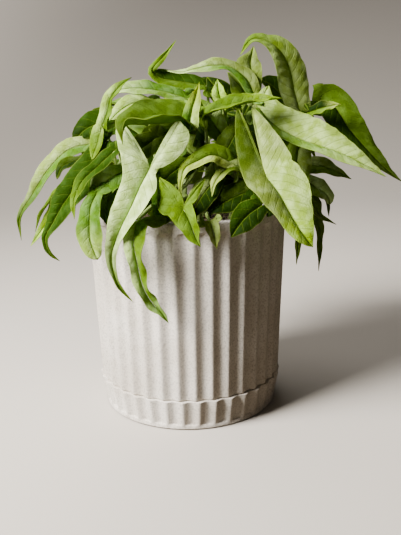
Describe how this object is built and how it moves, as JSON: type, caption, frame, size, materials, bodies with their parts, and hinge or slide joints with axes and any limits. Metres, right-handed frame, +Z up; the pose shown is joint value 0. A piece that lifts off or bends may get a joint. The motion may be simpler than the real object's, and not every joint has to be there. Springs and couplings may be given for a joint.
{
  "type": "potted arrowhead plant",
  "caption": "Leafy arrowhead plant with folded and hooked arrow-shaped leaves, growing in a fluted stoneware pot that stands in a matching fluted saucer.",
  "frame": {"origin": "the middle of the flat underside of the saucer", "axes": "+Z up, -Y towards the front, where the large pale leaf hangs over the rim, +X to the right seen from the front"},
  "size_m": [0.2642, 0.1991, 0.2608],
  "materials": {
    "stoneware": "unglazed sandy stoneware with fine dark specks, matte",
    "potting_soil": "dark crumbly potting mix",
    "leaf": "living leaf, satin, paler along the veins"
  },
  "bodies": {
    "root": {"saucer": "stoneware", "pot": "stoneware", "soil": "potting_soil", "stem_front_left": "leaf", "stem_left": "leaf", "stem_mid_left": "leaf", "stem_front": "leaf", "stem_front_right": "leaf", "stem_mid": "leaf", "stem_right": "leaf", "stem_back_right": "leaf", "stem_back": "leaf", "stem_back_left": "leaf"}
  },
  "joints": []
}
